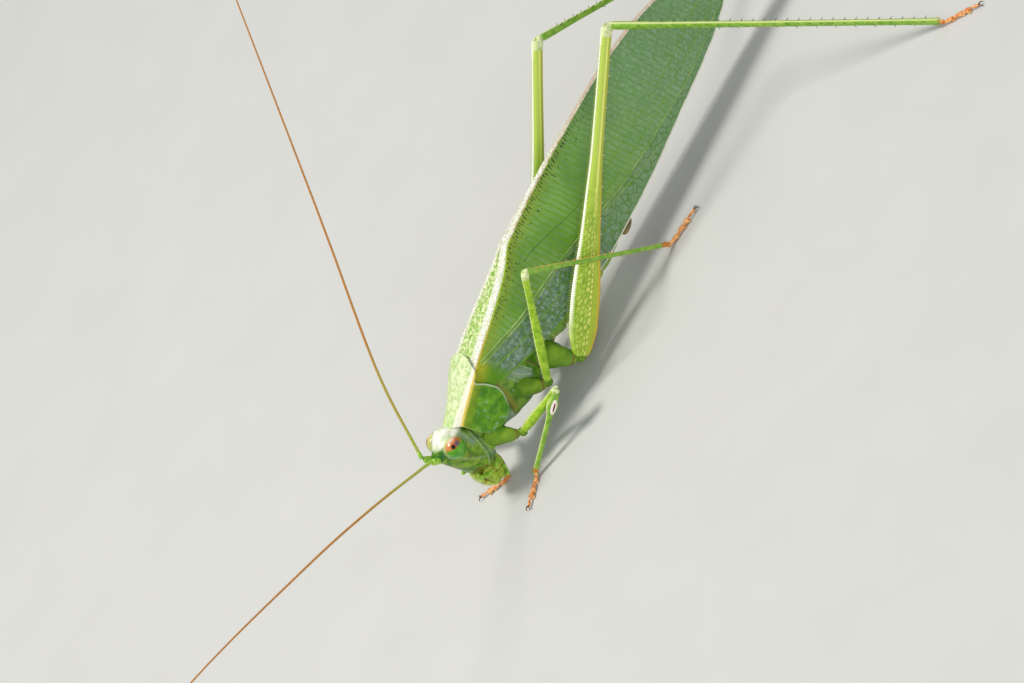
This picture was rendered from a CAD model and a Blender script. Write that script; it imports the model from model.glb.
"""A male bush katydid at life size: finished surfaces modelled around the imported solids.

Shapes are worked out in millimetres in the insect's own frame: x = 0 at the front edge of the
pronotum, head toward -X, right side toward +Y, feet on z = 0. piece() carries them into the frame.
"""

import math
import random

import bmesh
import bpy
from mathutils import Matrix, Vector


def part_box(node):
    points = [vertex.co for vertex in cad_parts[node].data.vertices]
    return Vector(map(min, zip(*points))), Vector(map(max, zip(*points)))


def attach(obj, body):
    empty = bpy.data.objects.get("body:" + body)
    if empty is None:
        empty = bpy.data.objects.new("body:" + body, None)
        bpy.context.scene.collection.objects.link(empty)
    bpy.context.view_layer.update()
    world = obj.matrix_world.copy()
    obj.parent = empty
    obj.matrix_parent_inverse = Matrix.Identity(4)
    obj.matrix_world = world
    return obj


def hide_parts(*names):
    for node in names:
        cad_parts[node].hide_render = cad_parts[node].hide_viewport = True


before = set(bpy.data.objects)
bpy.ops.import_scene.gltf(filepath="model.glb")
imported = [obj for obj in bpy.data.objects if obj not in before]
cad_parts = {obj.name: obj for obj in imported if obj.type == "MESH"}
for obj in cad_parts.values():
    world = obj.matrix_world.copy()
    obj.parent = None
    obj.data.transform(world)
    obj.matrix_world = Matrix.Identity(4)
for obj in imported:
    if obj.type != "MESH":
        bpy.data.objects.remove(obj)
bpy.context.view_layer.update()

# ---------------------------------------------------------------- places and sizes, millimetres

MM = 0.001
UP = Vector((0, 0, 1))
BACKWARD = Vector((1, 0, 0))
SIDES = {"left": -1, "right": 1}

EYE = Vector((-1.57, 1.25, 6.83))
EYE_RADIUS = 0.8
EYE_SWELL = 1.07  # how far the ball bulges past its socket

PRONOTUM_LENGTH = 5.4
PRONOTUM_PITCH = math.radians(23.5)
PRONOTUM_TOP = 7.25
LOBE_DEPTH = 3.75
LOBE_SPLAY = 0.5
DISC_SHARE = 0.36

WING_ROOT, WING_TIP = 3.0, 42.2

SOLE = 0.22  # height of a foot's middle line over the floor
ANKLE_HEIGHT = 0.5
FLOOR_GAP = 0.003  # the feet stay this far over the floor

# The left and right of a pair share a coxa; ankles and toes are places on the floor.
STANCE = {
    "front": {
        "coxa": (0.95, 1.25, 4.1),
        "left": dict(hip=(2.1, 2.1, 2.75), knee=(5.8, 5.0, 3.8), ankle=(0.05, 2.85), toe=(-2.9, 4.0)),
        "right": dict(hip=(1.7, 2.1, 2.75), knee=(0.2, 6.5, 3.2), ankle=(-0.8, 0.35), toe=(-3.1, 2.7)),
    },
    "middle": {
        "coxa": (5.1, 1.5, 4.3),
        "left": dict(hip=(6.3, 2.5, 3.0), knee=(11.9, 3.95, 10.6), ankle=(20.2, 3.95), toe=(23.9, 4.6)),
        "right": dict(hip=(6.3, 2.5, 3.0), knee=(14.5, 5.9, 6.9), ankle=(24.4, 10.8), toe=(27.8, 12.8)),
    },
    "hind": {
        "coxa": (8.2, 1.5, 4.0),
        "left": dict(hip=(9.2, 2.9, 1.75), knee=(31.3, 3.2, 14.2), ankle=(41.7, 22.0), toe=(43.8, 25.2)),
        "right": dict(hip=(9.2, 2.7, 1.75), knee=(28.9, 3.3, 15.0), ankle=(49.0, 6.6), toe=(53.0, 8.0)),
    },
}

ANTENNA = {
    "left": [
        (-3.45, -0.62, 7.75), (-9.4, -3, 11.9), (-16.2, -6, 16.3), (-28.3, -10, 22.6), (-40.4, -13.5, 27),
    ],
    "right": [(-3.3, 0.62, 7.85), (0.4, 2, 13.9), (6.8, 4, 21.8), (10.4, 5, 26.4), (22.6, 8.4, 42.2)],
}

low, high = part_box("eye_left")
ORIGIN = (low + high) / 2 - Vector((EYE.x, -EYE.y, EYE.z)) * MM


# ---------------------------------------------------------------- curves

def through(*stops):
    """A smooth value through (place, value) stops, level past both ends."""
    places = [place for place, _ in stops]
    values = [value for _, value in stops]
    rises = [(values[i + 1] - values[i]) / (places[i + 1] - places[i]) for i in range(len(stops) - 1)]
    slopes = [rises[0]] + [
        0 if before * after <= 0 else 2 * before * after / (before + after)
        for before, after in zip(rises, rises[1:])
    ] + [rises[-1]]

    def value(place):
        if place <= places[0]:
            return values[0]
        if place >= places[-1]:
            return values[-1]
        i = next(k for k in range(len(places) - 1) if place <= places[k + 1])
        span = places[i + 1] - places[i]
        t = (place - places[i]) / span
        return (
            values[i] * (1 + 2 * t) * (1 - t) ** 2 + values[i + 1] * t * t * (3 - 2 * t)
            + span * t * (1 - t) * (slopes[i] * (1 - t) - slopes[i + 1] * t)
        )

    return value


def ease(value, start, end):
    """0 before start, 1 past end, smooth between them."""
    t = min(1, max(0, (value - start) / (end - start)))
    return t * t * (3 - 2 * t)


def peak(value, at, width):
    """A bell of height 1 at one value."""
    return math.exp(-(((value - at) / width) ** 2))


class Path:
    """A smooth line through points, followed by its share of length from 0 to 1."""

    FINE = 24

    def __init__(self, points):
        points = [Vector(p) for p in points]
        ends = [2 * points[0] - points[1]] + points + [2 * points[-1] - points[-2]]
        self.points = [points[0]]
        for a, b, c, d in zip(ends, ends[1:], ends[2:], ends[3:]):
            for k in range(1, self.FINE + 1):
                t = k / self.FINE
                self.points.append(0.5 * (
                    2 * b + (c - a) * t + (2 * a - 5 * b + 4 * c - d) * t ** 2
                    + (3 * b - a - 3 * c + d) * t ** 3
                ))
        self.runs = [0.0]
        for a, b in zip(self.points, self.points[1:]):
            self.runs.append(self.runs[-1] + (b - a).length)
        self.length = self.runs[-1]

    def at(self, share):
        """The point and the direction at a share of the length."""
        run = min(1, max(0, share)) * self.length
        low_end, high_end = 0, len(self.runs) - 2
        while low_end < high_end:
            middle = (low_end + high_end + 1) // 2
            if self.runs[middle] <= run:
                low_end = middle
            else:
                high_end = middle - 1
        a, b = self.points[low_end], self.points[low_end + 1]
        step = self.runs[low_end + 1] - self.runs[low_end]
        return a.lerp(b, (run - self.runs[low_end]) / step), (b - a).normalized()


def sided(side, *points):
    """A path through (x, y, z) points whose y runs outward on this side."""
    return Path([(x, side * y, z) for x, y, z in points])


def crosswise(along, up=UP):
    """The directions across a limb and over it."""
    across = up.cross(along).normalized()
    return across, along.cross(across)


# ---------------------------------------------------------------- mesh tools

def new_mesh():
    """A bmesh whose corners carry where they lie on their piece, and one mask for its colours."""
    bm = bmesh.new()
    bm.verts.layers.float_vector.new("lie")
    bm.verts.layers.float.new("mask")
    return bm


def tube(bm, sides, rings, skin, crowd=0.0, material=0):
    """Adds a closed barrel whose skin(t, angle) gives each corner's place, lie and mask.

    crowd gathers the rings toward both ends, where most shapes turn fastest."""
    first_vert, first_face = len(bm.verts), len(bm.faces)
    ends = bmesh.ops.create_cone(bm, cap_ends=True, segments=sides, radius1=1, radius2=1, depth=1)["verts"]
    staves = {e for v in ends for e in v.link_edges if abs(e.verts[0].co.z - e.verts[1].co.z) > 0.5}
    bmesh.ops.subdivide_edges(bm, edges=list(staves), cuts=rings - 1)
    lie, mask = bm.verts.layers.float_vector["lie"], bm.verts.layers.float["mask"]
    bm.verts.ensure_lookup_table()
    bm.faces.ensure_lookup_table()
    for vert in bm.verts[first_vert:]:
        t = min(1, max(0, vert.co.z + 0.5))
        t = (1 - crowd) * t + crowd * (1 - math.cos(math.pi * t)) / 2
        vert.co, vert[lie], vert[mask] = skin(t, math.atan2(vert.co.y, vert.co.x))
    for face in bm.faces[first_face:]:
        face.material_index = material


def limb(bm, path, section, sides=14, rings=20, up=UP, crowd=0.5, material=0, mask=None, round_ends=0.0):
    """Adds a limb drawn along a path. section(t, angle) gives its half width and half height.

    Its lie is (across, millimetres along, over), with across and over on the unit circle."""
    def skin(t, angle):
        middle, along = path.at(t)
        across, over = crosswise(along, up)
        wide, tall = section(t, angle)
        if round_ends:
            end = min(t, 1 - t) / round_ends
            close = max(0.06, math.sqrt(max(0, 1 - (1 - min(1, end)) ** 2)))
            wide, tall = wide * close, tall * close
        place = middle + across * (wide * math.cos(angle)) + over * (tall * math.sin(angle))
        lie = Vector((math.cos(angle), t * path.length, math.sin(angle)))
        return place, lie, mask(t, angle) if mask else 0.0

    tube(bm, sides, rings, skin, crowd, material)


def bead(bm, a, b, wide, tall=None, material=0, sides=12, rings=10, up=UP):
    """Adds an egg from a to b."""
    tall = tall or wide
    limb(
        bm, Path([a, b]),
        lambda t, angle: tuple(s * max(0.05, math.sin(math.pi * t)) ** 0.5 for s in (wide, tall)),
        sides=sides, rings=rings, up=up, crowd=1.0, material=material,
    )


def thorn(bm, foot, tip, radius, material=0):
    """Adds a small six-sided spine from foot to tip."""
    foot, tip = Vector(foot), Vector(tip)
    turn = (tip - foot).to_track_quat("Z", "Y").to_matrix().to_4x4()
    place = Matrix.Translation((foot + tip) / 2) @ turn
    first_face = len(bm.faces)
    bmesh.ops.create_cone(
        bm, cap_ends=True, segments=6, radius1=radius, radius2=radius * 0.12,
        depth=(tip - foot).length, matrix=place,
    )
    bm.faces.ensure_lookup_table()
    for face in bm.faces[first_face:]:
        face.material_index = material


def sheet(bm, columns, rows, place):
    """Adds a grid whose place(u, v) gives each corner's place, lie and mask, u and v from 0 to 1."""
    first = len(bm.verts)
    bmesh.ops.create_grid(bm, x_segments=columns, y_segments=rows, size=0.5)
    lie, mask = bm.verts.layers.float_vector["lie"], bm.verts.layers.float["mask"]
    bm.verts.ensure_lookup_table()
    for vert in bm.verts[first:]:
        vert.co, vert[lie], vert[mask] = place(vert.co.x + 0.5, vert.co.y + 0.5)


def piece(name, bm, paints, nodes, thickness=None):
    """Turns a bmesh in insect millimetres into a finished piece that stands for CAD nodes.

    A sheet is given its thickness, in millimetres, by a wall that grows inward."""
    if thickness is None:
        bmesh.ops.recalc_face_normals(bm, faces=bm.faces)
    bmesh.ops.transform(bm, matrix=Matrix.Translation(ORIGIN) @ Matrix.Scale(MM, 4), verts=bm.verts)
    mesh = bpy.data.meshes.new(name)
    bm.to_mesh(mesh)
    bm.free()
    mesh.shade_smooth()
    for paint in paints:
        mesh.materials.append(paint)
    made = bpy.data.objects.new(name, mesh)
    bpy.context.scene.collection.objects.link(made)
    if thickness is not None:
        wall = made.modifiers.new("wall", "SOLIDIFY")
        wall.thickness = thickness * MM
        wall.offset = -1
    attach(made, "root")
    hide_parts(*nodes)
    return made


# ---------------------------------------------------------------- paint tools

def hue(code):
    """A colour written as six hex digits, as a linear colour."""
    parts = [int(code[i:i + 2], 16) / 255 for i in (0, 2, 4)]
    return tuple(p / 12.92 if p <= 0.04045 else ((p + 0.055) / 1.055) ** 2.4 for p in parts) + (1.0,)


class Amount:
    """A number, vector or colour that varies over a surface; arithmetic on it adds Math nodes."""

    def __init__(self, paint, socket):
        self.paint, self.socket = paint, socket

    def maths(self, operation, *values):
        return self.paint.node("ShaderNodeMath", dict(enumerate(values)), operation=operation)

    def __add__(self, other):
        return self.maths("ADD", self, other)

    def __sub__(self, other):
        return self.maths("SUBTRACT", self, other)

    def __rsub__(self, other):
        return self.maths("SUBTRACT", other, self)

    def __mul__(self, other):
        return self.maths("MULTIPLY", self, other)


    def __abs__(self):
        return self.maths("ABSOLUTE", self)

    def wave(self, period):
        """A smooth wave from 0 to 1 of this period."""
        return self.maths("SINE", self * (2 * math.pi / period)) * 0.5 + 0.5

    def most(self, other):
        return self.maths("MAXIMUM", self, other)

    def rise(self, start, end):
        """0 before start, 1 past end, smooth between them; start may be the larger."""
        sockets = {"Value": self, "From Min": start, "From Max": end}
        return self.paint.node("ShaderNodeMapRange", sockets, interpolation_type="SMOOTHSTEP")

    __radd__ = __add__
    __rmul__ = __mul__


class Paint:
    """A material being mixed: its node tree and the amounts it reads."""

    def __init__(self, name):
        self.material = bpy.data.materials.new(name)
        self.material.use_nodes = True
        self.nodes = self.material.node_tree.nodes
        self.links = self.material.node_tree.links
        self.skin = self.nodes["Principled BSDF"]

    def feed(self, sockets, values):
        for key, value in values.items():
            if isinstance(value, Amount):
                self.links.new(value.socket, sockets[key])
            else:
                sockets[key].default_value = value

    def node(self, kind, values, result=0, **settings):
        """Adds a node of this kind: its settings first, then its sockets' values or links."""
        made = self.nodes.new(kind)
        for name, value in settings.items():
            setattr(made, name, value)
        self.feed(made.inputs, values)
        return Amount(self, made.outputs[result])

    def mix(self, a, b, share):
        """Two colours, each an amount or six hex digits, mixed by a share of the second."""
        a, b = (hue(color) if isinstance(color, str) else color for color in (a, b))
        return self.node("ShaderNodeMix", {0: share, 6: a, 7: b}, result=2, data_type="RGBA")

    def lie(self):
        """(across, along, over) of limbs; the two surface runs of sheets."""
        parts = self.node("ShaderNodeAttribute", {}, result=1, attribute_name="lie")
        split = self.nodes.new("ShaderNodeSeparateXYZ")
        self.feed(split.inputs, {0: parts})
        return [Amount(self, out) for out in split.outputs]

    def mask(self):
        return self.node("ShaderNodeAttribute", {}, result=2, attribute_name="mask")

    def flat(self, x, y):
        """A texture place made of two amounts."""
        return self.node("ShaderNodeCombineXYZ", {0: x, 1: y})

    def millimetres(self):
        """The place on the piece, in millimetres."""
        place = self.node("ShaderNodeTexCoord", {}, result=3)
        return self.node("ShaderNodeVectorMath", {0: place, "Scale": 1 / MM}, operation="SCALE")

    def noise(self, size, detail=2.0):
        """Soft cloudiness from 0 to 1 with features of this size in millimetres."""
        values = {"Vector": self.millimetres(), "Scale": 1 / size, "Detail": detail}
        return self.node("ShaderNodeTexNoise", values)

    def cells(self, size, place=None, feature="DISTANCE_TO_EDGE", even=1.0):
        """Cells of this size in millimetres: how far each point lies from their walls, or middles."""
        values = {"Vector": place or self.millimetres(), "Scale": 1 / size, "Randomness": even}
        return self.node("ShaderNodeTexVoronoi", values, feature=feature)

    def finish(self, color, roughness=0.4, relief=None, depth=0.02, coat=0.0, glow=0.0):
        """Sets the surface: relief is a height from 0 to 1 and depth its size in millimetres."""
        inputs = {
            "Base Color": color, "Roughness": roughness, "Specular IOR Level": 0.25,
            "Coat Weight": coat, "Coat Roughness": 0.12,
        }
        if glow:
            inputs["Subsurface Weight"] = glow
            inputs["Subsurface Radius"] = (0.3, 0.5, 0.15)
            inputs["Subsurface Scale"] = 0.4 * MM
        if relief is not None:
            bump = {"Height": relief, "Distance": depth * MM, "Strength": 1.0}
            inputs["Normal"] = self.node("ShaderNodeBump", bump)
        self.feed(self.skin.inputs, inputs)
        return self.material


# ---------------------------------------------------------------- finishes

def paint_disc():
    """Pronotum: pale grained disc, cream stripe with a yellow rim, glossy green side lobes."""
    paint = Paint("pronotum_cuticle")
    arc, along, edge = paint.lie()
    reach = abs(arc)
    grain = paint.noise(0.11, 3.0).rise(0.38, 0.64)
    cloud = paint.noise(0.4, 4.0)
    disc = paint.mix("9cc468", "e0e8bc", (grain * 0.3 + cloud * 1.1).rise(0.38, 0.84))
    disc = paint.mix(disc, "a6cc70", along.rise(1.4, 0.0) * 0.35)
    lobe = paint.mix("3d7c02", "74ac10", paint.noise(0.8, 4.0).rise(0.32, 0.7))
    lobe = paint.mix(lobe, "93a01a", reach.rise(0.56, 0.42) * 0.55)
    sheen = paint.noise(0.45, 4.0).rise(0.56, 0.7) * reach.rise(0.48, 0.6)
    lobe = paint.mix(lobe, "8fae94", sheen * 0.75)
    speck = paint.cells(0.5, feature="F1").rise(0.14, 0.09)
    lobe = paint.mix(lobe, "d3d866", speck * paint.noise(1.3).rise(0.5, 0.6))
    side = reach.rise(0.375, 0.42)
    color = paint.mix(disc, lobe, side)
    stripe = (reach - along * 0.016).rise(0.235, 0.262) * reach.rise(0.372, 0.352)
    color = paint.mix(color, "f7f5df", stripe * along.rise(5.4, 4.6))
    yellow = reach.rise(0.345, 0.365) * reach.rise(0.43, 0.38)
    color = paint.mix(color, "d6b640", yellow * 0.9)
    color = paint.mix(color, "aec2a0", edge * side * (along.rise(1.7, 2.7) * 0.7 + 0.15))
    relief = grain * (1 - side) * 0.5 + paint.noise(0.3, 4.0) * side
    rough = 0.6 - side * 0.34
    return paint.finish(color, rough, relief, 0.035, coat=side * 0.3, glow=0.08)


def paint_face():
    """Head: glossy green, pale on the crown, a dark bar at the brow, brown lines round the mouth."""
    paint = Paint("head_cuticle")
    pale, dark, brown = paint.lie()
    cloud = paint.noise(0.55, 4.0)
    color = paint.mix("42760a", "84a424", cloud.rise(0.32, 0.7))
    color = paint.mix(color, "8fa690", paint.mask() * 0.6)
    crown = paint.mix("cbd9b4", "f3f3e4", paint.noise(0.7, 3.0).rise(0.4, 0.6))
    color = paint.mix(color, crown, pale)
    color = paint.mix(color, "2c6a1c", dark * 0.95)
    color = paint.mix(color, "77502a", brown * 0.85)
    dots = paint.cells(0.36, feature="F1").rise(0.12, 0.07) * paint.noise(0.9).rise(0.5, 0.62)
    color = paint.mix(color, "d5e08a", dots * (1 - pale))
    relief = paint.noise(0.3, 4.0) + dots * 0.5
    return paint.finish(color, 0.26, relief, 0.035, coat=0.28, glow=0.08)


def paint_eye():
    """Compound eye: warm brown above, green below, a dark false pupil and a bright rim."""
    paint = Paint("compound_eye")
    green, patch, rim = paint.lie()
    facets = paint.cells(0.045)
    brown = paint.mix("a8501c", "cf8040", paint.noise(0.5).rise(0.35, 0.65))
    brown = paint.mix(brown, "ecd2b4", green.rise(-0.78, -0.98) * 0.8)
    brown = paint.mix(brown, "b08c34", green.rise(-0.62, -0.45) * 0.7)
    brown = paint.mix(brown, "5a5068", patch.rise(0.2, 0.8) * 0.95)
    lower = paint.mix("3f9410", "6fae1c", paint.noise(0.6).rise(0.4, 0.7))
    color = paint.mix(brown, lower, green.rise(-0.5, -0.3))
    ring = paint.mask().rise(0.2, 0.5)
    color = paint.mix(color, "6e2c10", ring * 0.75)
    color = paint.mix(color, "060303", paint.mask().rise(0.55, 0.7))
    color = paint.mix(color, "c9d07a", rim.rise(0.35, 0.85) * 0.85)
    color = paint.mix(color, "3a2212", facets.rise(0.12, 0.0) * 0.12)
    return paint.finish(color, 0.12, facets.rise(0.0, 0.4), 0.004, coat=0.8)


def paint_wing():
    """Fore wing: a leaf-green field of cross veins, a net toward the lower edge, a cream shoulder."""
    paint = Paint("wing_leaf")
    x, run, fall = paint.lie()
    spot = paint.flat(x, run)
    cloud = paint.noise(2.2, 4.0)
    upper = paint.mask().rise(0.02, -0.06)
    lean = x.rise(9, 18) * 0.14 - 0.02
    rank = x - fall * lean + paint.noise(1.4) * 0.45
    bars = rank.wave(0.46).rise(0.7, 0.97)
    twigs = (rank + fall * 0.12).wave(0.21).rise(0.6, 0.95) * paint.noise(0.6).rise(0.42, 0.56)
    net = paint.cells(0.7, spot).rise(0.07, 0.02)
    fine = paint.cells(0.27, spot).rise(0.1, 0.03)
    weave = paint.cells(0.5, paint.flat(rank * 1.5, fall * 0.55)).rise(0.08, 0.025)
    far = x.rise(16, 33)
    medial = paint.mix("66924a", "86ae62", cloud.rise(0.3, 0.7))
    speckle = paint.noise(0.22, 4.0).rise(0.38, 0.7)
    bloom = paint.mix("6d9460", "89a68a", speckle)
    medial = paint.mix(medial, bloom, far * 0.85)
    cross = paint.mix("70a012", "5f8f3c", far)
    strokes = bars.most(weave * 0.6).most(twigs * 0.6 * (1 - far)) * (0.8 - far * 0.42)
    medial = paint.mix(medial, cross, strokes)
    glaze = paint.mix("5f7a62", "93a6a4", paint.noise(0.3, 3.0).rise(0.38, 0.66))
    costal = paint.mix(glaze, "77986a", x.rise(13, 22) * 0.8)
    costal = paint.mix(costal, "4f8226", net * x.rise(7, 10) * 0.8)
    costal = paint.mix(costal, "5f9030", fine * (1 - x.rise(10, 18) * 0.5) * 0.8)
    color = paint.mix(costal, medial, upper)
    color = paint.mix(color, "93a632", fall.rise(1.2, 0.35) * upper * x.rise(26, 15) * 0.6)
    slant = x + fall * 0.22 + paint.noise(0.6) * 0.5
    fleck = slant.wave(0.27).rise(0.58, 0.8) * paint.noise(0.26, 3.0).rise(0.42, 0.52)
    first = fall.rise(0.1, 0.15) * fall.rise(0.7, 0.4)
    second = fall.rise(0.6, 0.7) * fall.rise(1.5, 1.1) * paint.noise(0.35).rise(0.56, 0.64)
    color = paint.mix(color, "2e2620", fleck * first.most(second) * x.rise(7, 9.5) * x.rise(29, 22) * 0.95)
    edge = fall.rise(0.1, 0.03) * (fall * -1).rise(0.62, 0.5)
    sparkle = paint.noise(0.16, 3.0).rise(0.4, 0.6)
    shoulder = paint.mix("d3d8b4", "fdfcf2", sparkle)
    shoulder = paint.mix(shoulder, "7f9650", paint.noise(0.13, 3.0).rise(0.6, 0.68) * x.rise(9, 12) * 0.6)
    shoulder = paint.mix(shoulder, "c9b09a", x.rise(19, 26) * 0.8)
    color = paint.mix(color, shoulder, edge * x.rise(41, 36))
    line = paint.mix("a4c42c", "d0b440", x.rise(9, 6))
    color = paint.mix(color, line, fall.rise(0.02, 0.06) * fall.rise(0.17, 0.11) * x.rise(28, 18) * 0.9)
    base = paint.mix("9fa826", "5c9012", fall.rise(0.3, 1.5))
    color = paint.mix(color, base, x.rise(5.9, 4.7) * fall.rise(0.06, 0.2))
    back = (fall * -1).rise(0.48, 0.6) * x.rise(14.2, 13.2)
    mottle = paint.noise(0.24, 3.0).rise(0.4, 0.62)
    field = paint.mix("dbe6ac", "8cb84a", mottle)
    color = paint.mix(color, field, back)
    pillow = paint.cells(0.32, spot).rise(0.0, 0.3) * (1 - upper) * x.rise(16, 9)
    relief = (
        bars * upper * (0.45 - far * 0.2) + net * (1 - upper) * 0.4 + pillow * 0.8
        + back * mottle * 0.7 + edge * sparkle * 0.8
    )
    rough = 0.44 - (1 - upper) * 0.14
    return paint.finish(color, rough, relief, 0.045, coat=0.15, glow=0.15)


def paint_vein(name, dark, light):
    paint = Paint(name)
    color = paint.mix(dark, light, paint.noise(0.9, 3.0).rise(0.35, 0.65))
    return paint.finish(color, 0.4, paint.noise(0.12), 0.01, coat=0.2, glow=0.1)


def paint_membrane():
    """Hind wing tip: a thinner, paler sheet with a fine net."""
    paint = Paint("hind_wing_membrane")
    x, run, _ = paint.lie()
    net = paint.cells(0.5, paint.flat(x, run)).rise(0.07, 0.03)
    color = paint.mix("8fb878", "5f9440", net)
    return paint.finish(color, 0.4, net, 0.02, coat=0.1, glow=0.2)


def paint_pleura():
    """Sides of the thorax: glossy green plates, olive bands, grey membranes with pale folds."""
    paint = Paint("thorax_cuticle")
    sheen, olive, fold = paint.lie()
    mask = paint.mask()
    cloud = paint.noise(0.8, 4.0)
    color = paint.mix("3f7012", "769c34", cloud.rise(0.32, 0.68))
    color = paint.mix(color, "8a9f94", sheen.rise(0.25, 0.9) * 0.7)
    color = paint.mix(color, "86802a", olive.rise(0.2, 0.95) * 0.75)
    color = paint.mix(color, "b0bfa4", fold.rise(0.4, 1.0) * 0.4)
    color = paint.mix(color, "5a3d1c", mask.rise(0.3, 0.6) * 0.8)
    color = paint.mix(color, "1c120a", mask.rise(0.75, 0.95))
    return paint.finish(color, 0.26, paint.noise(0.35, 4.0), 0.06, coat=0.25, glow=0.08)


def paint_belly():
    """Abdomen: soft green rings, yellower beneath, with fine wrinkles."""
    paint = Paint("abdomen_skin")
    _, _, over = paint.lie()
    color = paint.mix("6da03c", "8fbb58", paint.noise(1.0, 3.0).rise(0.35, 0.65))
    color = paint.mix(color, "c4cf7c", over.rise(-0.5, -0.9) * 0.7)
    color = paint.mix(color, "e0dc9a", paint.mask().rise(0.5, 0.95) * 0.7)
    return paint.finish(color, 0.42, paint.noise(0.18, 3.0), 0.03, coat=0.15, glow=0.15)


def paint_limb(name, base, light, ridge):
    """Legs: green with pale ridges along the top; the mask brings in pale or orange ends."""
    paint = Paint(name)
    _, _, over = paint.lie()
    mask = paint.mask()
    color = paint.mix(base, light, paint.noise(0.5, 3.0).rise(0.3, 0.7))
    color = paint.mix(color, ridge, over.rise(0.9, 0.98) * 0.85)
    color = paint.mix(color, "cfdc74", over.rise(-0.9, -0.98) * 0.6)
    color = paint.mix(color, "dfe6b0", mask.rise(0.3, 0.95) * 0.8)
    color = paint.mix(color, "c77a34", (mask * -1).rise(0.35, 0.95))
    return paint.finish(color, 0.34, paint.noise(0.16, 3.0), 0.02, coat=0.3, glow=0.12)


def paint_hind_femur():
    """Hind thigh: rows of raised cells between a white upper ridge and a yellow lower strip."""
    paint = Paint("hind_femur_cuticle")
    _, along, over = paint.lie()
    mask = paint.mask()
    wobble = paint.noise(0.9) * 0.35
    swollen = along.rise(14.5, 9.0)
    patch = paint.flat(along * 1.1 + over * 0.6 + wobble, over * 1.6)
    pillow = paint.cells(0.46, patch, even=0.6)
    field = over.rise(0.88, 0.82) * over.rise(-0.3, -0.25) * swollen
    lines = pillow.rise(0.09, 0.03) * field
    column = over.rise(0.22, -0.02) * over.rise(-0.3, -0.26)
    strip = over.rise(-0.26, -0.32)
    tracks = over.wave(0.15).rise(0.35, 0.1) * strip
    base = paint.mix("9dc030", "bcd84c", paint.noise(0.6, 3.0).rise(0.3, 0.7))
    base = paint.mix(base, "bfd65c", along.rise(10, 17))
    color = paint.mix(base, "c2cf3c", strip * 0.6)
    dome = pillow.rise(0.0, 0.3)
    color = paint.mix(color, "cede6a", dome * field * 0.5)
    color = paint.mix(color, "eef07c", column * (1 - swollen * (1 - dome)) * 0.9)
    color = paint.mix(color, "67921a", lines * 0.6)
    color = paint.mix(color, "86a024", tracks * 0.55)
    color = paint.mix(color, "e2bb3a", over.rise(-0.7, -0.78) * 0.9)
    ridge = (over - along * 0.004).rise(0.84, 0.9) * (along + wobble).rise(0.5, 5.0)
    color = paint.mix(color, "fafaea", ridge)
    color = paint.mix(color, "e3e8bb", mask.rise(0.3, 0.95) * 0.8)
    color = paint.mix(color, "d06a52", (mask * -1).rise(0.5, 0.95))
    relief = dome * field + (1 - tracks) * strip * 0.3 + paint.noise(0.12) * 0.15
    return paint.finish(color, 0.3, relief, 0.07, coat=0.3, glow=0.1)


def paint_foot():
    """Feet: orange, browner at the joints, paler underneath."""
    paint = Paint("foot_pads")
    color = paint.mix("cf7434", "f0b878", paint.noise(0.3, 3.0).rise(0.35, 0.65))
    color = paint.mix(color, "a94a1e", paint.mask().rise(0.4, 0.9) * 0.7)
    return paint.finish(color, 0.4, paint.noise(0.1, 3.0), 0.015, coat=0.25, glow=0.1)


def paint_plain(name, dark, light, roughness=0.4, size=0.4, coat=0.2, marks=None):
    """A clouded finish; marks is the colour that the piece's mask brings in."""
    paint = Paint(name)
    color = paint.mix(dark, light, paint.noise(size, 3.0).rise(0.3, 0.7))
    if marks:
        color = paint.mix(color, marks, paint.mask().rise(0.2, 0.8) * 0.85)
    return paint.finish(color, roughness, paint.noise(size / 3, 3.0), 0.012, coat=coat, glow=0.08)


def paint_feeler():
    """Flagellum: yellow-green at the base, orange-brown further out, a dark line at each ring."""
    paint = Paint("feeler_rings")
    _, along, _ = paint.lie()
    color = paint.mix("a8b04a", "b97f3e", (along + paint.noise(4.0) * 6).rise(3.0, 14.0))
    color = paint.mix(color, "6a4424", paint.mask().rise(0.4, 0.9) * 0.7)
    return paint.finish(color, 0.45, paint.noise(0.1), 0.01, coat=0.1)


def paint_floor():
    paint = Paint("pale_floor")
    color = paint.mix("c3c3c0", "cacac7", paint.noise(9.0, 3.0))
    return paint.finish(color, 0.75)


DISC, FACE, EYES = paint_disc(), paint_face(), paint_eye()
WING, MEMBRANE = paint_wing(), paint_membrane()
VEIN = paint_vein("wing_main_vein", "7a9e4c", "9bb76c")
CROSS_VEIN = paint_vein("wing_cross_vein", "6b9c24", "7fa83a")
DARK_VEIN = paint_vein("wing_dark_vein", "3f6f24", "55823a")
MARGIN = paint_vein("wing_margin", "c5cdb4", "efeedd")
PLEURA, BELLY, HIND_FEMUR = paint_pleura(), paint_belly(), paint_hind_femur()
HINGE = paint_plain("wing_hinge", "7f9a1c", "a8a82e", 0.36, 0.7, coat=0.2)
THROAT = paint_plain("throat_cuticle", "5d8f18", "8fb83a", 0.3, 0.7, coat=0.35)
COXA = paint_plain("coxa_cuticle", "4e7e14", "7c9c2c", 0.4, 1.2, coat=0.15, marks="7a6a2c")
SMALL_EYE = paint_plain("small_eye", "e8e0a0", "f7f2cc", 0.2, coat=0.6)
FOOT, FEELER = paint_foot(), paint_feeler()
FOOT_PAD = paint_plain("sole_pads", "d9a05a", "f0c98a", 0.55)
SCAPE = paint_plain("scape_green", "76ad2c", "a9cf4a", 0.3, coat=0.4)
FEMUR = paint_limb("femur_cuticle", "78a818", "a9c838", "e3ea9c")
TIBIA = paint_limb("tibia_cuticle", "6ca02c", "94ba48", "dfe2a0")
MOUTH = paint_plain("mouthparts", "7c9e22", "b2c648", 0.3, marks="6e4a1c")
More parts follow.
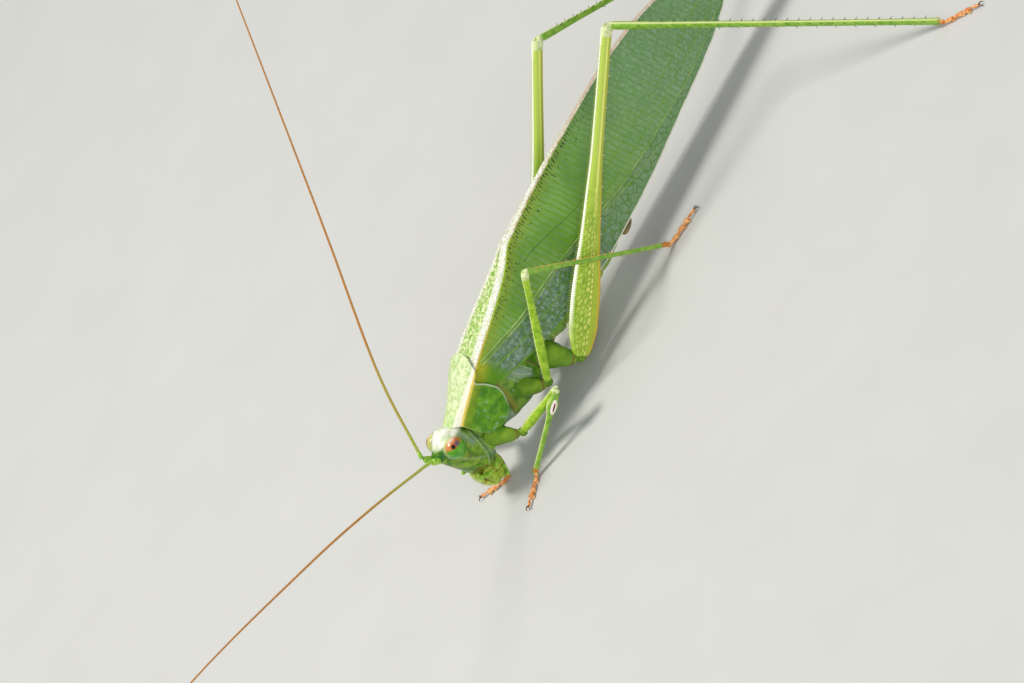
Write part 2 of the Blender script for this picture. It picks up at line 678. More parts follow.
LIP = paint_plain("lip_cuticle", "8fb62c", "c3d458", 0.28, coat=0.35, marks="a86424")
PALP = paint_plain("palp_cuticle", "5f9c1a", "9cc43a", 0.28, coat=0.35, marks="4a6a1c")
MOUTH_BROWN = paint_plain("mouthpart_joints", "7d5a26", "a87a3a", 0.35)
SPINE = paint_plain("spines", "cf8a24", "ecb84e", 0.35)
RIDGE = paint_plain("wing_ridge", "a88a72", "ece6d6", 0.45, 0.25)
DARK_SPINE = paint_plain("dark_spines", "241a12", "4a3220", 0.3)
PALE_TOOTH = paint_plain("pale_teeth", "e2e3b0", "f8f7e2", 0.4)
KNEE = paint_plain("knee_lobes", "b3cb68", "e4e9be", 0.34, 0.3, coat=0.3)
CLAW = paint_plain("claws", "3a1f10", "7a4420", 0.25, coat=0.5)
TAN_PLATE = paint_plain("tail_plates", "8a6236", "c49a66", 0.45)
TAIL_TIP = paint_plain("tail_tip_cuticle", "77634f", "a8925e", 0.42, 0.7)
SLIT = paint_plain("ear_slit", "4a160c", "7a2a16", 0.35)
PALE_RIM = paint_plain("ear_rim", "ecd9cf", "faf1ea", 0.35)


# ---------------------------------------------------------------- pronotum

PRONOTUM_REAR = through(
    (0, 4.3), (0.05, 3.6), (0.12, 3.42), (0.3, 3.5), (0.55, 3.4), (0.75, 2.95), (0.9, 2.3), (1, 1.7),
)
DISC_HALF = through((-0.3, 1.0), (1, 1.12), (3, 1.5), (4.4, 1.72), (5.4, 1.72))
DISC_DOME = through((-0.3, 0.62), (1.5, 0.45), (3.5, 0.42), (5.4, 0.3))


def pronotum_point(arc, t):
    """The outer skin of the pronotum: arc runs -1 to 1 over the back, t from front to rear."""
    side = 1 if arc >= 0 else -1
    reach = abs(arc)
    fall = max(0, (reach - DISC_SHARE) / (1 - DISC_SHARE))
    across = min(1, reach / DISC_SHARE)
    front = -0.3 * (1 - across ** 3) - 0.25 * ease(fall, 0, 0.5) + 1.6 * fall ** 7
    rear = PRONOTUM_REAR(fall) if fall > 0 else PRONOTUM_LENGTH - 1.1 * across ** 2.5
    along = front + (rear - front) * t
    half = DISC_HALF(along)
    height = DISC_DOME(along) * (1 - across ** 2.6) - LOBE_DEPTH * fall
    height -= 0.09 * peak(along, 1.7, 0.3) * (1 - across ** 4) + 0.03 * peak(across, 0, 0.12)
    rounding = 0.14 * ease(across, 0.75, 1) * (1 - ease(fall, 0, 0.06))
    groove = peak(along, 2.0 + 0.9 * fall, 0.16) * ease(fall, 0.1, 0.25) * ease(fall, 0.8, 0.6)
    inner = peak(math.hypot((along - 1.6) / 1.75, (fall - 0.38) / 0.55), 0.86, 0.07) * ease(fall, 0.1, 0.2)
    swell = 0.12 * math.sin(math.pi * min(1, fall * 1.1)) * ease(t, 0.0, 0.4)
    y = half * across + LOBE_SPLAY * math.sqrt(fall) + swell - 0.07 * groove - 0.045 * inner
    height -= rounding
    return Vector((
        along * math.cos(PRONOTUM_PITCH) - height * math.sin(PRONOTUM_PITCH),
        side * y,
        PRONOTUM_TOP + along * math.sin(PRONOTUM_PITCH) + height * math.cos(PRONOTUM_PITCH),
    )), along


def make_pronotum():
    """A saddle with a raised rim round its lobes."""
    bm = new_mesh()

    def place(u, v):
        arc = 2 * v - 1
        point, along = pronotum_point(arc, u)
        edge = max(ease(abs(arc), 0.965, 0.98), ease(u, 0.04, 0.015), ease(u, 0.955, 0.975))
        lift = 0.06 * edge * ease(abs(arc), 0.38, 0.48)
        point.y += math.copysign(lift, arc)
        return point, Vector((arc, along, edge)), 0.0

    sheet(bm, 120, 240, place)
    bmesh.ops.recalc_face_normals(bm, faces=bm.faces)
    piece("pronotum_shell", bm, [DISC], ["pronotum"], thickness=0.14)


# ---------------------------------------------------------------- wings

# All run along x: the heights of the back, the lower edge and the main vein, and how far out the
# shoulder and the lower edge lie.
WING_TOP = through(
    (3, 8.3), (4, 8.75), (5, 9.1), (8.4, 9.75), (11.7, 10.4), (14, 11.1), (20, 11.3), (29, 11.05),
    (33, 10.55), (36, 9.75), (39, 8.85), (41, 8.0), (41.9, 7.35), (42.2, 6.95),
)
WING_LOW = through(
    (3, 7.2), (4, 6.85), (5, 6.35), (7, 5.6), (10, 4.6), (14, 3.6), (18, 3.1), (23, 3.05),
    (29, 3.4), (35, 3.8), (38, 4.3), (40.5, 5.2), (41.8, 6.2), (42.2, 6.75),
)
WING_SHOULDER = through(
    (3, 1.05), (4, 1.36), (5, 1.42), (9, 1.2), (12, 0.78), (14, 0.46), (17, 0.3), (20, 0.2),
    (26, 0.12), (36, 0.1), (42.2, 0.2),
)
WING_EDGE = through(
    (3, 1.3), (4, 1.78), (5, 1.95), (8, 2.0), (14, 1.8), (22, 1.55), (32, 1.2), (42.2, 0.85),
)
MAIN_VEIN = through(
    (4.6, 8.6), (7, 8.1), (9.4, 7.5), (12.4, 7.05), (15.7, 6.45), (20, 5.5), (23, 4.9),
    (28, 4.45), (33, 4.2), (38, 4.75), (41, 5.6),
)
MAIN_VEIN_STOPS = (4.7, 7, 9.4, 12.4, 15.7, 20, 23, 28, 33, 38, 41)

# The paints of the raised veins, in the order of their piece's materials.
MARGIN_PART, MAIN_PART, CROSS_PART, DARK_PART, RIDGE_PART = range(5)

# Longer veins of the flank: (x, z) places, radius at each end, paint and rings.
FLANK_VEINS = [
    ([(13.2, 9.3), (14.6, 9.0), (19.4, 7.45), (23, 6.9)], 0.032, 0.015, DARK_PART, 100),
    ([(23, 6.9), (28, 6.5), (33, 6.35), (40.8, 6.9)], 0.025, 0.02, CROSS_PART, 100),
    ([(15.5, 6.75), (19, 6.35), (24, 5.7), (30, 5.3), (36, 5.3), (40.6, 5.9)], 0.035, 0.025, CROSS_PART, 140),
    ([(9.0, 9.55), (10, 9.5), (11.1, 9.1), (12, 8.95)], 0.04, 0.02, CROSS_PART, 50),
    ([(5.2, 7.6), (7.6, 6.7), (11, 5.9), (16, 5.0), (20, 4.4)], 0.05, 0.03, CROSS_PART, 100),
]
BACK_DROP = 0.12  # how far the flat back falls from the midline to the shoulder


def wing_parts(x):
    """Top, lower edge, shoulder and width of the flat back at x."""
    top, low_edge = WING_TOP(x), WING_LOW(x)
    shoulder = WING_SHOULDER(x)
    back = max(shoulder - 0.03, 0.05)
    return top, low_edge, shoulder, back


def wing_point(x, run, lift=0.0):
    """A place on the right fore wing: run is the distance round from the midline, in millimetres."""
    def middle(distance):
        top, low_edge, shoulder, back = wing_parts(x)
        flank = top - low_edge
        if distance < back:
            return Vector((x, 0.03 + distance, top - BACK_DROP * (distance / back) ** 2))
        fall = min(1, (distance - back) / flank)
        y = shoulder + (WING_EDGE(x) - shoulder) * (1 - (1 - fall) ** 1.9)
        return Vector((x, y, top - BACK_DROP - (flank - BACK_DROP) * fall))

    point = middle(run)
    slope = middle(run + 0.04) - middle(max(0, run - 0.04))
    out = Vector((0, -slope.z, slope.y)).normalized()
    return point + out * (lift + 0.16 - 0.13 * ease(x, 11, 15))


def wing_at(x, z, lift=0.0):
    """The same, where the wing's flank passes a height z."""
    top, low_edge, _, back = wing_parts(x)
    fall = min(1, max(0, (top - BACK_DROP - z) / (top - low_edge - BACK_DROP)))
    return wing_point(x, back + fall * (top - low_edge), lift)


def vein(bm, side, line, radius, end_radius=None, material=MAIN_PART, rings=60, flat=1.0):
    """Adds a raised vein along (x, z) places on a wing's flank."""
    end_radius = end_radius or radius
    smooth = through(*line)
    start, end = line[0][0], line[-1][0]
    count = max(6, rings // 4)
    places = [start + (end - start) * k / count for k in range(count + 1)]
    path = sided(side, *(wing_at(x, smooth(x)) for x in places))

    def section(t, angle):
        size = radius + (end_radius - radius) * t
        return size * flat, size

    limb(bm, path, section, sides=8, rings=rings, crowd=0.0, material=material, round_ends=0.02)


def make_tegmen(name, side):
    """A fore wing: its sheet, then its raised veins."""
    bm = new_mesh()

    def place(u, v):
        x = WING_ROOT + (WING_TIP - WING_ROOT) * math.sin(u * math.pi / 2) ** 0.9
        top, low_edge, _, back = wing_parts(x)
        run = v * (back + top - low_edge)
        point = wing_point(x, run)
        mask = MAIN_VEIN(x) - point.z
        point.y *= side
        return point, Vector((x, run, run - back)), mask

    sheet(bm, 300, 72, place)
    if side < 0:
        bmesh.ops.reverse_faces(bm, faces=bm.faces)
    piece(f"tegmen_sheet_{name}", bm, [WING], [f"tegmen_{name}"], thickness=0.09)

    bm = new_mesh()
    upper = [(x, MAIN_VEIN(x) + 0.11) for x in MAIN_VEIN_STOPS]
    lower = [(x, MAIN_VEIN(x) - 0.13) for x in MAIN_VEIN_STOPS[:6]] + [(24, 4.3), (27, 3.7)]
    vein(bm, side, upper, 0.11, 0.035, rings=200, flat=0.7)
    vein(bm, side, lower, 0.1, 0.035, rings=160, flat=0.7)
    for line, radius, end_radius, material, rings in FLANK_VEINS:
        vein(bm, side, line, radius, end_radius, material, rings)
    add_cross_veins(bm, side)
    for stops, radius, material, rings in (
        ((4.6, 7, 10, 13), 0.05, CROSS_PART, 60),
        ((13, 14, 18, 23, 29, 35, 38, 40.5, 41.8), 0.06, MARGIN_PART, 160),
    ):
        vein(bm, side, [(x, WING_LOW(x) + 0.05) for x in stops], radius, 0.05, material, rings)
    ridge_stops = (14.2, 16, 18, 22, 26, 30, 34, 37, 39, 40.6, 41.6)
    ridge = sided(side, *(wing_point(x, WING_SHOULDER(x)) for x in ridge_stops))
    limb(bm, ridge, lambda t, a: (0.05, 0.06), sides=8, rings=120, crowd=0.0, material=RIDGE_PART,
         round_ends=0.01)
    paints = [MARGIN, VEIN, CROSS_VEIN, DARK_VEIN, RIDGE]
    piece(f"tegmen_veins_{name}", bm, paints, [f"tegmen_{name}"])


def add_cross_veins(bm, side):
    """Adds thin veins that rise from the main vein toward the back, each a little bowed."""
    chance = random.Random(7)
    for k in range(64):
        x = 6.0 + 0.5 * k + chance.uniform(-0.08, 0.08)
        foot = MAIN_VEIN(x) + 0.2
        head = min(WING_TOP(x) - chance.uniform(0.3, 0.9), foot + chance.uniform(2.4, 4.8))
        rise = head - foot
        if rise < 0.6 or x > 39:
            continue
        bow = chance.uniform(-0.08, 0.08)
        lean = 0.12 * ease(x, 9, 18) * rise
        line = [(x, foot), (x - 0.5 * lean + bow, foot + 0.5 * rise), (x - lean, head)]
        path = sided(side, *(wing_at(px, pz, -0.012) for px, pz in line))
        limb(bm, path, lambda t, angle: (0.026, 0.026), sides=5, rings=10, crowd=0.0, material=CROSS_PART)


def make_hind_wing(name, side):
    """The folded hind wing, whose tip passes the fore wings."""
    root, length, pleats = 30, 14.7, 7
    top = through((30, 7.2), (38, 7.4), (42.5, 7.2), (44.2, 6.95), (44.75, 6.7))
    low_edge = through((30, 5.3), (38, 5.8), (42.5, 6.0), (44.2, 6.3), (44.75, 6.6))
    bm = new_mesh()

    def place(u, v):
        x = root + length * math.sin(u * math.pi / 2)
        z = top(x) + (low_edge(x) - top(x)) * v
        pleat = 0.05 * math.sin(v * math.pi * pleats)
        return Vector((x, side * (0.22 + pleat), z)), Vector((x, z, v)), 0.0

    sheet(bm, 90, 36, place)
    piece(f"hind_wing_{name}", bm, [MEMBRANE], [f"hindwing_{name}"], thickness=0.06)


# ---------------------------------------------------------------- trunk

# Lines and spots on the flank, as (x, z) places.
SEAMS = [
    [(3.3, 7.3), (3.9, 5.6), (3.2, 3.6)],
    [(6.6, 7.6), (6.9, 5.9), (7.1, 4.3), (7.4, 3.0)],
    [(8.1, 7.2), (8.6, 5.4), (8.4, 3.6)],
    [(7.75, 3.48), (8.9, 2.3), (9.7, 2.1)],
]
OLIVE_BANDS = [[(4.2, 6.9), (4.0, 5.6), (3.6, 3.9)], [(7.6, 4.4), (8.8, 3.2), (9.4, 3.0)]]
PALE_FOLDS = [
    [(5.0, 6.2), (5.2, 5.3), (5.4, 4.4)],
    [(5.5, 6.3), (5.8, 5.2), (6.3, 4.4)],
    [(6.1, 6.4), (6.4, 5.4), (6.6, 4.6)],
    [(4.5, 5.0), (4.9, 3.9), (5.0, 3.2)],
    [(9.2, 5.8), (9.3, 4.6), (9.0, 3.9)],
]
MEMBRANES = [[(5.6, 5.9), (6.1, 4.7)], [(9.4, 5.6), (9.6, 4.4)], [(2.5, 5.0), (2.9, 3.6)]]
SPIRACLES = [(5.75, 3.75), (9.3, 3.5)]


def nearness(lines, x, z, width=0.11):
    """1 on any of these (x, z) lines, falling smoothly to 0 about twice this width away."""
    gap = 9.0
    for line in lines:
        for (ax, az), (bx, bz) in zip(line, line[1:]):
            run = ((x - ax) * (bx - ax) + (z - az) * (bz - az)) / ((bx - ax) ** 2 + (bz - az) ** 2)
            run = max(0, min(1, run))
            gap = min(gap, math.hypot(x - ax - run * (bx - ax), z - az - run * (bz - az)))
    return peak(gap, 0, width)


def make_thorax():
    """The barrel between the pronotum and the abdomen, with its plates, folds and breathing holes."""
    wide = through((0, 1.05), (0.15, 1.35), (0.35, 1.55), (0.75, 1.74), (1, 1.6))
    tall = through((0, 1.8), (0.2, 2.35), (0.4, 2.85), (0.7, 3.05), (1, 2.6))
    path = Path([(0.1, 0, 5.3), (4.5, 0, 5.55), (10.1, 0, 4.95)])
    bm = new_mesh()

    def skin(t, angle):
        middle, along = path.at(t)
        across, over = crosswise(along)
        close = max(0.1, math.sin(math.pi * t)) ** 0.22
        square = 1 + 0.1 * abs(math.sin(2 * angle)) ** 1.5
        place = middle + (
            across * (wide(t) * close * math.cos(angle)) + over * (tall(t) * close * math.sin(angle))
        ) * square
        place.y *= 1 + 0.26 * ease(-math.sin(angle), -0.1, 0.5) * ease(t, 0.45, 0.75)
        flank = ease(abs(math.cos(angle)), 0.15, 0.5)
        x, z = place.x, place.z
        seam = nearness(SEAMS, x, z, 0.09) * flank
        fold = nearness(PALE_FOLDS, x, z, 0.12) * flank
        olive = nearness(OLIVE_BANDS, x, z, 0.34) * flank
        sheen = nearness(MEMBRANES, x, z, 0.55) * flank
        plate = 0.12 * math.sin(x * 2.2 + 0.6) * math.sin(z * 1.5) * flank
        ripple = 0.03 * math.sin(x * 9 + 3 * math.sin(z * 2)) * sheen
        hole = max(peak(math.hypot((x - a) * 1.7, z - b), 0, 0.12) for a, b in SPIRACLES) * flank
        ring = max(peak(math.hypot((x - a) * 1.7, z - b), 0.25, 0.08) for a, b in SPIRACLES) * flank
        push = plate + ripple + 0.1 * fold - 0.11 * seam - 0.07 * sheen - 0.14 * hole + 0.07 * ring
        place.y += math.copysign(push, place.y)
        return place, Vector((sheen, max(olive, 0.7 * seam), max(fold, 0.7 * ring))), max(0.6 * seam, hole)

    tube(bm, 200, 220, skin)
    for side in SIDES.values():
        hinge = sided(side, (2.4, 0.9, 7.6), (3.4, 1.2, 7.4), (4.4, 1.35, 7.2), (5.6, 1.2, 7.0))
        limb(bm, hinge, lambda t, a: (0.42, 0.85), sides=32, rings=40, round_ends=0.4, material=1)
        throat = sided(side, (-0.3, 0.5, 4.3), (0.5, 0.75, 4.1), (1.5, 0.9, 3.9))
        limb(bm, throat, lambda t, a: (0.5, 0.75), sides=28, rings=30, round_ends=0.35, material=2)
    piece("thorax_plates", bm, [PLEURA, HINGE, THROAT], ["thorax"])


def make_abdomen():
    """Nine overlapping rings, tapering to the tail plates."""
    path = Path([(8.7, 0, 4.95), (13, 0, 4.5), (17, 0, 3.65), (20.5, 0, 2.85)])
    wide = through((0, 1.5), (0.5, 1.45), (0.9, 1.0), (1, 0.8))
    tall = through((0, 2.35), (0.4, 2.1), (0.7, 1.85), (0.9, 1.3), (1, 1.0))
    segments = 9
    bm = new_mesh()

    def skin(t, angle):
        middle, along = path.at(t)
        across, over = crosswise(along)
        step = (t * segments) % 1
        ring = 0.93 + 0.07 * ease(step, 0, 0.75) - 0.05 * ease(step, 0.92, 1)
        side_fold = 1 - 0.09 * peak(math.sin(angle), -0.45, 0.12)
        close = min(1, max(0.08, math.sin(math.pi * t)) ** 0.2 * 1.02)
        size = ring * side_fold * close
        place = middle + across * (wide(t) * size * math.cos(angle))
        place += over * (tall(t) * size * math.sin(angle))
        place.y *= 1 + 0.22 * ease(-math.sin(angle), -0.1, 0.5) * ease(t, 0.6, 0.1)
        lie = Vector((math.cos(angle), t * path.length, math.sin(angle)))
        return place, lie, ease(step, 0.82, 0.97)

    tube(bm, 64, 200, skin)
    piece("abdomen_rings", bm, [BELLY], ["abdomen"])


def make_tail():
    """The plates and claspers at the tip of the abdomen."""
    bm = new_mesh()
    notch = Path([(20.0, 0, 3.6), (20.8, 0, 3.62), (21.45, 0, 3.35)])
    limb(bm, notch, lambda t, a: (0.62 - 0.22 * t, 0.2 - 0.05 * t), sides=24, rings=24, round_ends=0.25)
    for side in SIDES.values():
        bead(bm, (20.9, side * 0.2, 3.45), (21.7, side * 0.12, 3.15), 0.13, 0.1)
    piece("supra_anal_plate_tan", bm, [TAN_PLATE], ["supra_anal_plate"])

    bm = new_mesh()
    keel = Path([(19.7, 0, 1.95), (20.6, 0, 2.0), (21.2, 0, 2.4)])
    limb(bm, keel, lambda t, a: (0.52 - 0.2 * t, 0.25), sides=24, rings=24, round_ends=0.25)
    for side in SIDES.values():
        fork = sided(side, (20.8, 0.18, 2.15), (21.25, 0.24, 2.5), (21.5, 0.2, 2.85))
        limb(bm, fork, lambda t, a: (0.12 - 0.05 * t, 0.14 - 0.05 * t), sides=12, rings=14, round_ends=0.2)
    piece("subgenital_plate_fork", bm, [TAIL_TIP], ["subgenital_plate"])

    for name, side in SIDES.items():
        bm = new_mesh()
        clasper = sided(side, (20.2, 0.95, 3.0), (21.1, 1.0, 3.1), (21.9, 0.6, 3.5))
        limb(bm, clasper, lambda t, a: (0.21 - 0.13 * t, 0.21 - 0.11 * t), sides=16, rings=30,
             round_ends=0.08)
        piece(f"cercus_{name}_hook", bm, [TAIL_TIP], [f"cercus_{name}"])


# ---------------------------------------------------------------- head

# From the crown, at 0, to the mouth, at 1: x of the face and the nape, and the half width.
HEAD_TOP, HEAD_BOTTOM = 8.05, 2.3
FACE_LINE = through(
    (0, -1.2), (0.009, -1.6), (0.03, -1.92), (0.07, -2.36), (0.104, -2.72), (0.148, -2.98), (0.2, -3.0),
    (0.357, -2.85), (0.583, -2.54), (0.72, -2.36), (0.843, -2.16), (0.95, -1.85), (1, -1.4),
)
NAPE_LINE = through(
    (0, -1.1), (0.009, -0.84), (0.026, -0.62), (0.06, -0.4), (0.096, -0.16), (0.13, 0.12), (0.18, 0.32),
    (0.32, 0.44), (0.46, 0.5), (0.635, 0.5), (0.774, 0.42), (0.88, 0.25), (0.965, 0.0), (1, -0.3),
)
CHEEK_LINE = through(
    (0, 0.25), (0.009, 0.5), (0.03, 0.72), (0.07, 0.9), (0.15, 1.04), (0.25, 1.18), (0.4, 1.33),
    (0.55, 1.37), (0.7, 1.27), (0.85, 1.02), (0.95, 0.75), (1, 0.45),
)

# Lines of the head's flank, as (x, z) places, then single places on its right half.
GENA_RIDGE = [[(0.2, 6.3), (-0.28, 4.95), (-0.62, 3.9), (-1.1, 3.2)]]
CHEEK_FOLD = [[(-1.95, 5.75), (-1.2, 4.6), (-0.62, 3.9)]]
JAW_SEAMS = [
    [(-2.3, 3.75), (-1.87, 3.9), (-1.3, 3.45), (-1.05, 2.9)],
    [(-1.85, 3.9), (-1.75, 3.2), (-1.5, 2.5)],
]
NECK_FOLDS = [[(0.35, 5.4), (0.15, 4.4), (-0.25, 3.3)], [(0.5, 4.6), (0.4, 3.8), (0.1, 3.0)]]
STREAK = [[(-0.5, 7.1), (-0.38, 6.4), (-0.4, 5.7)]]
FEELER_SOCKET = Vector((-2.98, 0.5, 7.02))
CHEEK_BULGE = Vector((-1.15, 1.2, 4.5))
CHEEK_SPOT = Vector((-1.45, 1.2, 5.35))


def head_skin(t, angle):
    """The head capsule with its brow, feeler sockets, eye rims, cheeks and the seams of the face.

    Its lie holds three colour shares, (pale, dark, brown), and its mask a fourth, the grey sheen."""
    face, nape, half = FACE_LINE(t), NAPE_LINE(t), CHEEK_LINE(t)
    depth = math.cos(angle)
    middle, reach = (face + nape) / 2, (nape - face) / 2
    power = 2.6
    box = 1 / (abs(math.cos(angle)) ** power + abs(math.sin(angle)) ** power) ** (1 / power)
    boxy = 0.6 * ease(t, 0.03, 0.3)
    box = 1 - boxy + boxy * box
    taper = 1 - 0.36 * depth * depth if depth < 0 else 1
    place = Vector((
        middle + reach * depth * box,
        half * taper * math.sin(angle) * box,
        HEAD_TOP - (HEAD_TOP - HEAD_BOTTOM) * t,
    ))
    out = Vector((depth * reach, math.sin(angle) * half, 0)).normalized()
    near = Vector((place.x, abs(place.y), place.z))
    socket = (near - FEELER_SOCKET).length
    eye = (near - EYE).length
    front = ease(-depth, 0.1, 0.6)
    flank = ease(near.y, 0.35, 0.8)
    rim = peak(eye, EYE_RADIUS + 0.07, 0.1)
    gena = nearness(GENA_RIDGE, near.x, near.z, 0.09) * flank
    cheek = nearness(CHEEK_FOLD, near.x, near.z, 0.09) * flank
    jaw = nearness(JAW_SEAMS, near.x, near.z, 0.07) * ease(near.y, 0.2, 0.45)
    lip = peak(near.z, 3.62 + 0.1 * near.y, 0.06) * front
    neck = nearness(NECK_FOLDS, near.x, near.z, 0.12) * flank
    slope = 0.35 * (4.6 - near.z)
    behind = ease(near.x, -0.42 - slope, 0.1 - slope) * ease(near.z, 6.2, 5.2)
    brow_groove = peak(near.y, 0, 0.07) * ease(near.z, 6.9, 7.3) * ease(-near.x, 2.2, 2.6)
    bulge = peak((near - CHEEK_BULGE).length, 0, 0.85)
    lift = (
        0.1 * peak(socket, 0.34, 0.09) - 0.12 * peak(socket, 0, 0.22) + 0.07 * rim + 0.06 * bulge
        + 0.06 * gena + 0.035 * cheek - 0.07 * jaw - 0.09 * lip + 0.05 * neck - 0.06 * brow_groove
    )
    crown = ease(near.z + 0.25 * (near.x + 1.2), 7.05, 7.45) * ease(near.x, -2.75, -2.45)
    dark = ease(near.z, 6.55, 6.8) * ease(near.z, 7.5, 7.25) * ease(-near.x, 2.0, 2.35) * (1 - 0.6 * rim)
    brown = max(jaw * 0.9, lip * 0.8, 0.55 * peak((near - CHEEK_SPOT).length, 0, 0.28))
    pale = max(crown, 0.26 * gena, 0.16 * cheek, 0.4 * rim)
    sheen = max(nearness(STREAK, near.x, near.z, 0.28) * flank, 0.8 * behind * flank, neck * 0.8)
    return place + out * lift, Vector((pale, dark, brown)), sheen


def make_head():
    bm = new_mesh()
    tube(bm, 180, 170, head_skin, crowd=0.6)
    bead(bm, (-3.0, 0, 6.62), (-3.04, 0, 6.42), 0.09, 0.09, material=1)
    piece("head_capsule", bm, [FACE, SMALL_EYE], ["head"])


def make_eye(name, side):
    """A compound eye: a ball, slightly tall, in a narrow bright rim."""
    bm = new_mesh()
    made = bmesh.ops.create_uvsphere(bm, u_segments=96, v_segments=64, radius=1)["verts"]
    lie, mask = bm.verts.layers.float_vector["lie"], bm.verts.layers.float["mask"]
    centre = Vector((EYE.x, side * EYE.y, EYE.z))
    pupil = Vector((-0.18, side * 0.78, 0.66)).normalized()
    patch = Vector((0.3, side * 0.8, 0.5)).normalized()
    for vert in made:
        out = vert.co.copy()
        green = -(0.24 * out.x + 0.97 * out.z)
        vert[lie] = Vector((green, peak((out - patch).length, 0, 0.3), ease(out.y * side, 0.16, 0.0)))
        vert[mask] = peak((out - pupil).length, 0, 0.24)
        vert.co = centre + Vector((out.x, out.y * 0.98, out.z * 1.03)) * EYE_RADIUS * EYE_SWELL
    piece(f"compound_eye_{name}", bm, [EYES], [f"eye_{name}"])


def make_mouth():
    """Lips, jaws and the small jointed palps."""
    bm = new_mesh()
    lip = Path([(-2.12, 0, 3.55), (-2.28, 0, 2.75), (-2.05, 0, 1.9), (-1.4, 0, 1.1)])
    width = through((0, 0.85), (0.3, 0.72), (0.38, 0.6), (0.45, 0.66), (0.8, 0.55), (1, 0.3))
    depth = through((0, 0.24), (0.33, 0.28), (0.38, 0.23), (0.45, 0.29), (0.9, 0.26), (1, 0.18))
    limb(bm, lip, lambda t, a: (width(t), depth(t)), sides=44, rings=60, round_ends=0.1, up=BACKWARD,
         mask=lambda t, a: 0.8 * peak(t, 0.385, 0.03) + 0.5 * ease(t, 0.93, 1.0))
    piece("labrum_lip", bm, [LIP], ["labrum"])

    bm = new_mesh()
    under = Path([(-0.2, 0, 2.9), (-0.25, 0, 2.2), (-0.55, 0, 1.5), (-1.0, 0, 1.05)])
    limb(bm, under, lambda t, a: (0.7 - 0.26 * t, 0.36 - 0.08 * t), sides=36, rings=40, round_ends=0.15,
         up=BACKWARD, mask=lambda t, a: 0.7 * peak(t, 0.45, 0.04))
    for side in SIDES.values():
        bead(bm, (-0.62, side * 0.26, 1.62), (-1.12, side * 0.2, 0.98), 0.2, 0.15)
    piece("labium_lip", bm, [MOUTH], ["labium"])

    for name, side in SIDES.items():
        bm = new_mesh()
        jaw = sided(side, (-1.55, 0.82, 3.35), (-1.6, 0.72, 2.5), (-1.5, 0.5, 1.75), (-1.35, 0.2, 1.3))
        limb(bm, jaw, lambda t, a: (0.34 - 0.12 * t, 0.62 - 0.27 * t), sides=36, rings=44, round_ends=0.15,
             up=BACKWARD, mask=lambda t, a: 0.9 * max(peak(abs(math.sin(a)), 1, 0.16), ease(t, 0.8, 1.0)))
        galea = sided(side, (-0.75, 0.85, 3.0), (-0.8, 0.75, 2.2), (-0.95, 0.5, 1.5), (-1.15, 0.25, 1.12))
        limb(bm, galea, lambda t, a: (0.3 - 0.1 * t, 0.42 - 0.14 * t), sides=28, rings=36, round_ends=0.15,
             up=BACKWARD, mask=lambda t, a: 0.8 * peak(t, 0.35, 0.04) + 0.8 * peak(t, 0.95, 0.06))
        for k in range(3):
            tooth = Vector((-1.42 + 0.12 * k, side * 0.18, 1.36))
            thorn(bm, tooth, tooth + Vector((-0.02, -side * 0.08, -0.16)), 0.06, material=1)
        piece(f"mandible_jaw_{name}", bm, [MOUTH, CLAW], [f"mandible_{name}"])

        upper = sided(
            side, (-0.55, 0.95, 2.7), (-0.3, 1.3, 3.3), (-0.62, 1.5, 3.15), (-1.15, 1.42, 2.86),
            (-1.8, 1.35, 3.15), (-2.5, 1.2, 3.6),
        )
        lower = sided(side, (-0.3, 0.45, 2.3), (-0.42, 0.85, 2.2), (-0.62, 0.92, 1.65), (-0.95, 0.9, 1.2))
        make_palp(f"palp_maxillary_{name}", upper, (0, 0.12, 0.26, 0.56, 1))
        make_palp(f"palp_labial_{name}", lower, (0, 0.3, 0.6, 1))


def make_palp(node, path, joints):
    """A jointed palp; each length swells toward its far end and meets a brown ring."""
    bm = new_mesh()
    for start, end in zip(joints, joints[1:]):
        last = end == 1
        length = Path([path.at(start + (end - start) * k / 5 - 0.01 * (k == 0))[0] for k in range(6)])
        width = through((0, 0.09), (0.6, 0.12), (0.9, 0.16 if last else 0.14), (1, 0.12))
        limb(bm, length, lambda t, angle: (width(t), width(t)), sides=18, rings=26, round_ends=0.12,
             mask=lambda t, angle: 0.5 * ease(t, 0.1, 0.0))
        if not last:
            b, along = path.at(end)
            bead(bm, b - along * 0.07, b + along * 0.08, 0.105, 0.105, material=1)
    piece(f"{node}_jointed", bm, [PALP, MOUTH_BROWN], [node])


